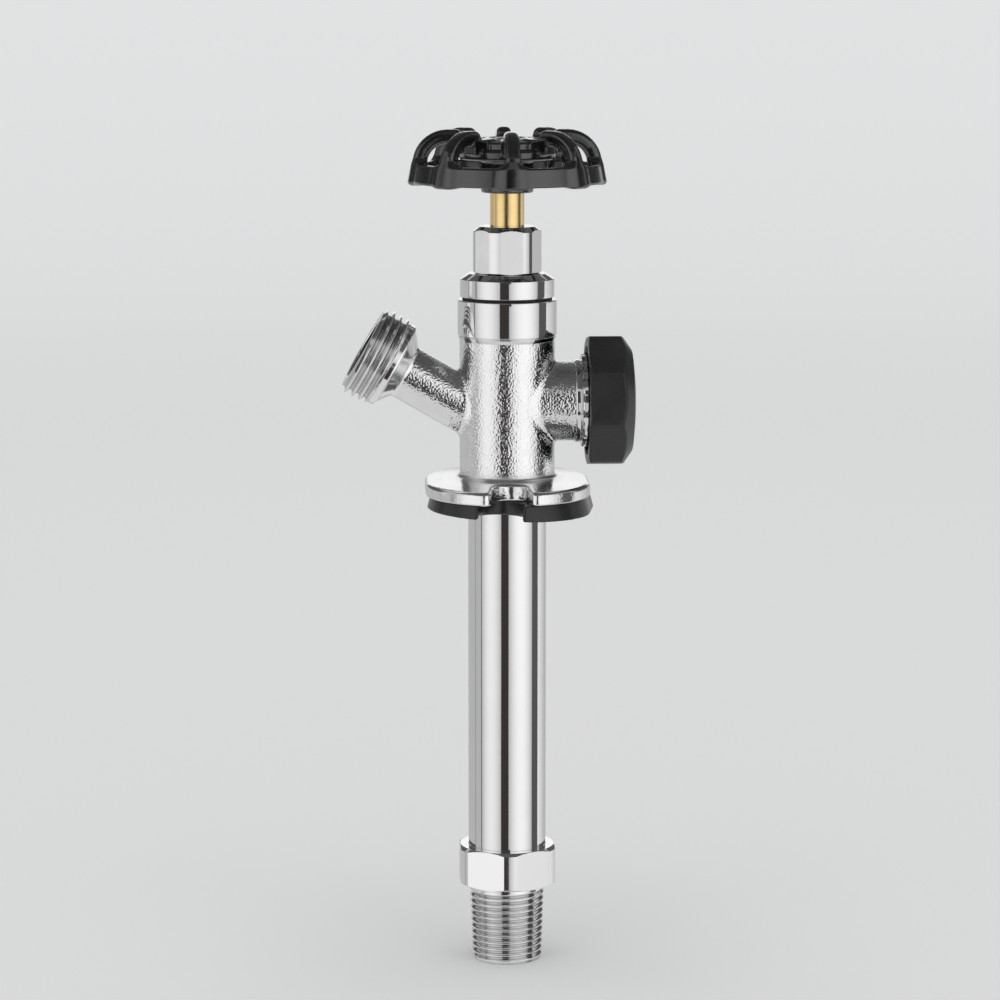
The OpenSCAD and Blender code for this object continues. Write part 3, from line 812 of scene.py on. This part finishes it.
# Hose end of the spout
# The machined mouth of the casting: a three quarter inch hose thread that ends at a
# plain collar, with a counterbore for the hose washer.
hose_reach = 47.0
hose_crest = 13.35
hose_groove = 1.4
hose_pitch = 2.209
hose_wall = 10.6
hose_foot, hose_start = 31.0, 37.6
hose_run_in = (38.4, 39.4)
hose_collar = 12.6
washer_bore, washer_floor = 9.3, 38.0


def hose_cut(radius, angle, station):
    share = ramp(*hose_run_in, station)
    screw = hose_crest - hose_groove * share * groove(angle, station, hose_pitch)
    on_hose = (station > hose_start) & (radius > hose_wall)
    return np.where(on_hose, np.minimum(radius, screw), radius)


def along(points, root, way):
    """Points built about +Z, laid along a way in the XZ plane from a root."""
    way = np.array(way, float)
    side = np.array((0.0, 1.0, 0.0))
    up = np.cross(side, way)
    return np.array(root) + points[:, :1] * up + points[:, 1:2] * side + points[:, 2:] * way


hose_line = rounded([
    (spout_bore, hose_foot, 0), (spout_radius - 0.1, hose_foot, 0),
    (spout_radius + 0.05, 33.6, 1.6), (11.6, 36.5, 0.8), (12.45, 36.8, 0.4),
    (hose_collar, 37.3, 0.3), (hose_collar, 38.6, 0.3), (hose_crest, 39.2, 0.2),
    (hose_crest, 45.9, 0.3), (11.75, hose_reach, 0.5), (washer_bore, hose_reach, 0.4),
    (washer_bore, washer_floor, 0.4), (spout_bore, washer_floor, 0.3),
], steps=6)
points, faces = turned(filled(hose_line, 0.11), 192, hose_cut)
hose = made_piece("hose_thread", along(points, *spout_axis), faces, thread_chrome, "housing",
                  ["valve_body"])
radius = np.hypot(points[:, 0], points[:, 1])
mark_thread(hose, (points[:, 2] > hose_run_in[0]) & (radius > hose_wall + 0.8),
            (hose_crest - radius) / hose_groove)

# Breaker ring
# The machined end of the breaker stub: a bead, then a ring with small teeth that the
# cap clips over.
tooth_count = 18
tooth_depth = 0.9
tooth_wall = 11.9
tooth_start = (20.9, 21.2)
ring_bore = 9.0
ring_low, ring_high = 19.0, 24.2
ring_radius, bead_radius = 13.1, 11.8


def ring_cut(radius, angle, station):
    slot = ramp(0.05, 0.45, np.cos(angle * tooth_count))
    toothed = radius - tooth_depth * slot * ramp(*tooth_start, station)
    return np.where(radius > tooth_wall, toothed, radius)


ring_line = rounded([
    (ring_bore, ring_low, 0), (11.6, ring_low, 0), (bead_radius, 19.3, 0.3),
    (bead_radius, 20.4, 0.4), (11.6, 20.7, 0.2), (12.95, 20.9, 0.2), (ring_radius, 21.4, 0.3),
    (ring_radius, 23.8, 0.4), (12.5, ring_high, 0.2), (ring_bore, ring_high, 0.2),
])
points, faces = turned(filled(ring_line, 0.3), 216, ring_cut)
made_piece("breaker_ring", along(points, *stub_axis), faces, bright_chrome,
           "housing", ["valve_body"])

# Wall wedge
# A moulded black plate between flange and wall, thicker on the breaker side so that
# the barrel drains outwards. Two notches let the wall screws through.
wedge_turn = math.radians(8)
wedge_pitch = math.radians(2)
wedge_shift = 0.8
wedge_flare = 1.6
wedge_foot = 23.55
wedge_notch, wedge_notch_place = 6.2, 22.5
wedge_hole = tube_radius + 1.2


def wedge_field(x, y, z):
    """Distance outside the wedge."""
    sx = x - wedge_shift
    wx = sx * math.cos(wedge_turn) - y * math.sin(wedge_turn)
    wy = sx * math.sin(wedge_turn) + y * math.cos(wedge_turn)
    lean = wedge_flare / (flange_low + wedge_flare)
    side = oval(wx, wy, wedge_foot, flange_half) + lean * (z + wedge_flare)
    under = -(x * math.sin(wedge_pitch) + z * math.cos(wedge_pitch))
    plate = meet(meet(side / math.hypot(1, lean), z - flange_low, 0.3), under, 0.35)
    plate = less(plate, notch(wx, wy, wedge_notch, wedge_notch_place), 0.8)
    return less(plate, np.hypot(x, y) - wedge_hole, 0.2)


# Even texture of a moulded surface
mould, mould_in, mould_out = new_group("moulded_grain", [("Grain", 4000.0)], ["Height"])
mould_place = mould.nodes.new("ShaderNodeTexCoord")
mould.links.new(
    noise(mould, mould_place.outputs["Object"], mould_in.outputs["Grain"], 2.0, 0.6),
    mould_out.inputs["Height"],
)


def mould_bump(tree, shader, grain, distance):
    """Bump of a moulded surface, that many metres deep."""
    texture = placed(tree, mould, Grain=grain)
    raised(tree, shader, texture.outputs["Height"], distance)


black_plastic, tree, shader = clouded(
    "black_plastic", metal=0.0, scale=160.0, band=(0.3, 0.75),
    tones=((0.022, 0.022, 0.022), (0.032, 0.031, 0.031)), rough=(0.18, 0.28),
)
mould_bump(tree, shader, grain=3200.0, distance=0.00002)

wedge_step = 0.5
wedge_box = (-26.0, -30.5, -2.2), (27.0, 30.5, 5.6)
points, faces, normals = skin(wedge_field, *wedge_box, wedge_step)
made_piece("wall_wedge_plate", points, faces, black_plastic, "housing",
           ["wall_wedge"], normals=normals)

# Seat pieces
# At the warm end of the barrel a rubber washer, held by a brass screw in a brass cup,
# closes on the seat. The cup hangs on the rod by a steel pin, so that it doesn't turn.


def shown_node(name, finish):
    """A solid of the frame that keeps its shape and takes a finish."""
    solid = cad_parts[name]
    solid.data.materials.clear()
    solid.data.materials.append(finish)


brass, tree, shader = clouded(
    "turned_brass", metal=1.0, scale=180.0, band=(0.35, 0.7),
    tones=((0.98, 0.75, 0.37), (0.95, 0.69, 0.31)), rough=(0.16, 0.24),
)
marks = placed(tree, lines, Across=40.0, Along=2600.0)
raised(tree, shader, marks.outputs["Height"], 0.000008)

black_rubber, tree, shader = clouded(
    "black_rubber", metal=0.0, scale=300.0, band=(0.3, 0.7),
    tones=((0.014, 0.014, 0.014), (0.026, 0.025, 0.024)), rough=(0.60, 0.82),
)
mould_bump(tree, shader, grain=2600.0, distance=0.00002)

steel, tree, shader = clouded(
    "plated_steel", metal=1.0, scale=260.0, band=(0.35, 0.7),
    tones=((0.62, 0.62, 0.62), (0.52, 0.52, 0.52)), rough=(0.18, 0.32),
)
mould_bump(tree, shader, grain=5200.0, distance=0.00001)

shown_node("washer_screw", brass)
shown_node("washer_holder", brass)
shown_node("seat_washer", black_rubber)
shown_node("swivel_pin", steel)

# Stem
# The brass stem screws up and down in the bonnet and carries the long rod to the seat.
# A rubber ring seals it below its screw.
shown_node("stem_rod", brass)
shown_node("stem_head", brass)
shown_node("stem_ring", black_rubber)

# Bonnet
# A turned and plated brass collar that screws into the neck on a thin dark gasket, with
# a steep bevel round its top.
shown_node("bonnet_gasket", black_rubber)
collar_radius = 13.3
collar_low, collar_high = 60.0, 66.7
bonnet_low, bonnet_high = 40.2, 76.3
bonnet_step = 47.7
screw_bore, bonnet_bore, bore_step = 6.95, 6.6, 50.7
box_outside, box_inside, box_floor = 7.2, 6.1, 68.8
stem_hole = 4.85
bonnet_line = rounded([
    (screw_bore, bonnet_low, 0), (8.7, bonnet_low, 0.2), (8.7, bonnet_step, 0),
    (10.45, bonnet_step, 0.2), (10.45, collar_low, 0), (collar_radius, collar_low, 0.3),
    (collar_radius, 65.1, 0.2), (11.1, collar_high, 0.25), (box_outside, collar_high, 0),
    (box_outside, bonnet_high, 0.3), (box_inside, bonnet_high, 0.2), (box_inside, box_floor, 0),
    (stem_hole, box_floor, 0), (stem_hole, 67.3, 0), (bonnet_bore, 67.3, 0),
    (bonnet_bore, bore_step, 0), (screw_bore, bore_step, 0),
])
points, faces = turned(filled(bonnet_line, 1.5), 144)
made_piece("bonnet_collar", points, faces, bright_chrome, "housing", ["bonnet"])

# Packing and packing nut
# Grey packing and a brass washer fill the box round the stem, and a plated hexagon nut
# with turned corners presses them down.
packing, tree, shader = clouded(
    "grey_packing", metal=0.0, scale=700.0, band=(0.3, 0.7),
    tones=((0.16, 0.16, 0.16), (0.26, 0.26, 0.25)),
)
shader.inputs["Roughness"].default_value = 0.85
mould_bump(tree, shader, grain=1500.0, distance=0.00008)
shown_node("stem_packing", packing)
shown_node("gland_washer", brass)

nut_low, nut_high = 66.7, 79.9
nut_flats = 18.0
nut_corner = 9.64
nut_bore, nut_floor = 7.23, 77.5
nut_wall = 7.4
nut_turn = math.radians(5)


def nut_cut(radius, angle, station):
    return np.where(radius > nut_wall,
                    flats(radius, angle, nut_flats, nut_turn, hex_sides), radius)


nut_line = rounded([
    (nut_bore, nut_low, 0.2), (8.85, nut_low, 0.1), (nut_corner, nut_low + 0.35, 0.15),
    (nut_corner, nut_high - 1.4, 0.25), (7.9, nut_high, 0.3), (stem_hole, nut_high, 0.25),
    (stem_hole, nut_floor, 0), (nut_bore, nut_floor, 0),
])
nut_around = milled(nut_flats, nut_corner, nut_turn, hex_sides)
points, faces = turned(filled(nut_line, 0.2), nut_around, nut_cut)
made_piece("packing_hexagon", points, faces, bright_chrome, "housing",
           ["packing_nut"], crease=14)

# Handwheel
# A die cast wheel in gloss black enamel: eight round ribs arch from the rim up over the
# top and drop to the hub, which sits on a square of the stem.
wheel_turn = math.radians(1.5)
wheel_low = 92.0
rib_count = 8
rib_depth, rib_flare = 2.05, 0.4
arch_middle = (16.85, 97.2)
arch_radius = 7.75
arch_steps, flare_steps = 10, 4
rib_path = [(25.6, wheel_low), (25.1, 94.6)]
rib_half = [2.7, 2.6]
for step in range(arch_steps + 1):
    bend = math.radians(90 * step / arch_steps)
    rib_path.append((arch_middle[0] + arch_radius * math.cos(bend),
                     arch_middle[1] + arch_radius * math.sin(bend)))
    rib_half.append(rib_depth + rib_flare * max(0, 1 - step / flare_steps))
rib_path.append((14.65, 104.95))
rib_half.append(rib_depth)
leg_half, leg_edge = 2.0, 0.7
leg_low, leg_high = 100.2, 104.5
leg_in, leg_out = 7.0, 16.2
rim_middle, rim_half, rim_height = 25.2, 1.95, 5.4
rim_lean, rim_taper = 0.06, 0.13
hub_radius, hub_low, hub_high = 10.85, 100.0, 104.8
hub_flat, hub_fall = 5.0, 0.2
ledge_radius, ledge_low, ledge_high = 13.6, 98.6, 101.4
column_radius, column_low, column_high = 7.4, 89.3, 102.5
pit_radius, pit_floor = 5.0, 102.4
square_half, square_high = 3.23, 102.9


def wheel_field(x, y, z):
    """Distance outside the wheel."""
    reach = np.hypot(x, y)
    part = 2 * math.pi / rib_count
    angle = np.arctan2(y, x) - wheel_turn
    angle = angle - np.round(angle / part) * part
    u, t = reach * np.cos(angle), reach * np.sin(angle)
    best = np.full(np.shape(u), 1e3)
    half = np.full(np.shape(u), rib_depth)
    for (a, b), (wa, wb) in zip(zip(rib_path, rib_path[1:]), zip(rib_half, rib_half[1:])):
        du, dz = b[0] - a[0], b[1] - a[1]
        s = np.clip(((u - a[0]) * du + (z - a[1]) * dz) / (du * du + dz * dz), 0, 1)
        off = np.hypot(u - a[0] - s * du, z - a[1] - s * dz)
        nearer = off < best
        best = np.where(nearer, off, best)
        half = np.where(nearer, wa + (wb - wa) * s, half)
    across = np.abs(t) * rib_depth / half
    ribs = np.cbrt(best ** 3 + across ** 3) - rib_depth
    ribs = meet(ribs, wheel_low - z, 0.5)
    leg = meet(np.abs(t) - leg_half, np.maximum(leg_low - z, z - leg_high), leg_edge)
    leg = meet(leg, np.maximum(leg_in - u, u - leg_out), leg_edge)
    ribs = join(ribs, leg, 0.8)
    rise = z - wheel_low
    band = np.abs(reach - rim_middle + rim_lean * rise) - (rim_half - rim_taper * rise)
    band = meet(band, np.maximum(-rise, rise - rim_height), 0.55)
    wheel = join(band, ribs, 2.2)
    dome = z - hub_high + hub_fall * np.maximum(reach - hub_flat, 0)
    disc = meet(reach - hub_radius, np.maximum(hub_low - z, dome), 0.7)
    ledge = meet(reach - ledge_radius, np.maximum(ledge_low - z, z - ledge_high), 0.7)
    column = meet(reach - column_radius, np.maximum(column_low - z, z - column_high), 0.6)
    wheel = join(wheel, join(join(disc, ledge, 0.5), column, 1.2), 0.8)
    pit = np.maximum(reach - pit_radius, pit_floor - z)
    square = np.maximum(np.maximum(np.abs(x), np.abs(y)) - square_half, z - square_high)
    return less(wheel, np.minimum(pit, square), 0.25)


black_enamel, tree, shader = clouded(
    "black_enamel", metal=0.0, scale=110.0, band=(0.3, 0.75),
    tones=((0.005, 0.005, 0.005), (0.009, 0.0085, 0.0085)), rough=(0.14, 0.22),
)
shader.inputs["Specular IOR Level"].default_value = 0.9
shader.inputs["Coat Weight"].default_value = 0.8
shader.inputs["Coat Roughness"].default_value = 0.12
mould_bump(tree, shader, grain=420.0, distance=0.00006)

wheel_step = 0.4
wheel_box = (-28.8, -28.8, 88.6), (28.8, 28.8, 107.8)
points, faces, normals = skin(wheel_field, *wheel_box, wheel_step)
made_piece("handwheel_casting", points, faces, black_enamel, "spindle",
           ["handwheel"], normals=normals)

# Handle screw
# A plated steel screw with a cross slot, sunk in the hub, holds the wheel on the stem.
shown_node("handle_screw", steel)

# Vacuum breaker
# Inside the stub a white float with a rubber face lifts off its gasket under water and
# drops to let air in. A brass retainer keeps it there.
white_plastic, tree, shader = clouded(
    "white_plastic", metal=0.0, scale=200.0, band=(0.3, 0.7),
    tones=((0.80, 0.80, 0.76), (0.74, 0.74, 0.69)), rough=(0.34, 0.46),
)
mould_bump(tree, shader, grain=3600.0, distance=0.00001)
shown_node("vent_gasket", black_rubber)
shown_node("vent_float", white_plastic)
shown_node("float_seal", black_rubber)
shown_node("vent_retainer", brass)

# Breaker cap
# A moulded black cap with eight flats and a bevelled end. Ribs inside it grip the ring
# and leave room for air round its open edge.
cap_open, cap_end = 22.5, 35.9
cap_floor = 33.6
cap_sides = 8
cap_flats = 35.9
cap_corner = 19.25
cap_bore = 15.65
cap_pole = 0.5
cap_turn = math.radians(9)
cap_ease = 0.35
grip_reach = 2.4
grip_flank = (0.75, 1.15)
grip_start = (cap_open + 0.6, cap_open + 1.4)

cap_plastic, tree, shader = clouded(
    "cap_plastic", metal=0.0, scale=160.0, band=(0.3, 0.75),
    tones=((0.018, 0.018, 0.018), (0.026, 0.025, 0.025)), rough=(0.24, 0.32),
)
mould_bump(tree, shader, grain=3200.0, distance=0.00001)


def cap_cut(radius, angle, station):
    part = 2 * math.pi / cap_sides
    outer = flats(radius, angle, cap_flats, part / 2 - cap_turn, cap_sides, cap_ease)
    off = np.mod(angle + cap_turn, part) - part / 2
    grip = 1 - ramp(*grip_flank, np.abs(off) * cap_bore)
    inner = radius - grip_reach * grip * ramp(*grip_start, station)
    inside = (station < cap_floor + 0.05) & (radius < cap_bore + 0.6)
    return np.where(inside, np.where(radius > cap_bore - 0.1, inner, radius), outer)


cap_line = rounded([
    (cap_pole, cap_floor, 0), (cap_bore, cap_floor, 0), (cap_bore, cap_open, 0.3),
    (17.5, cap_open, 0.2), (cap_corner, cap_open + 0.55, 0.3), (cap_corner, 31.9, 0.5),
    (14.45, 35.25, 0.9), (9.5, cap_end - 0.05, 1.5), (cap_pole, cap_end, 0),
])
points, faces = turned(filled(cap_line, 0.4, closed=False), 288, cap_cut, closed=False)
made_piece("breaker_cap", along(points, *stub_axis), faces, cap_plastic,
           "housing", ["vent_cap"])
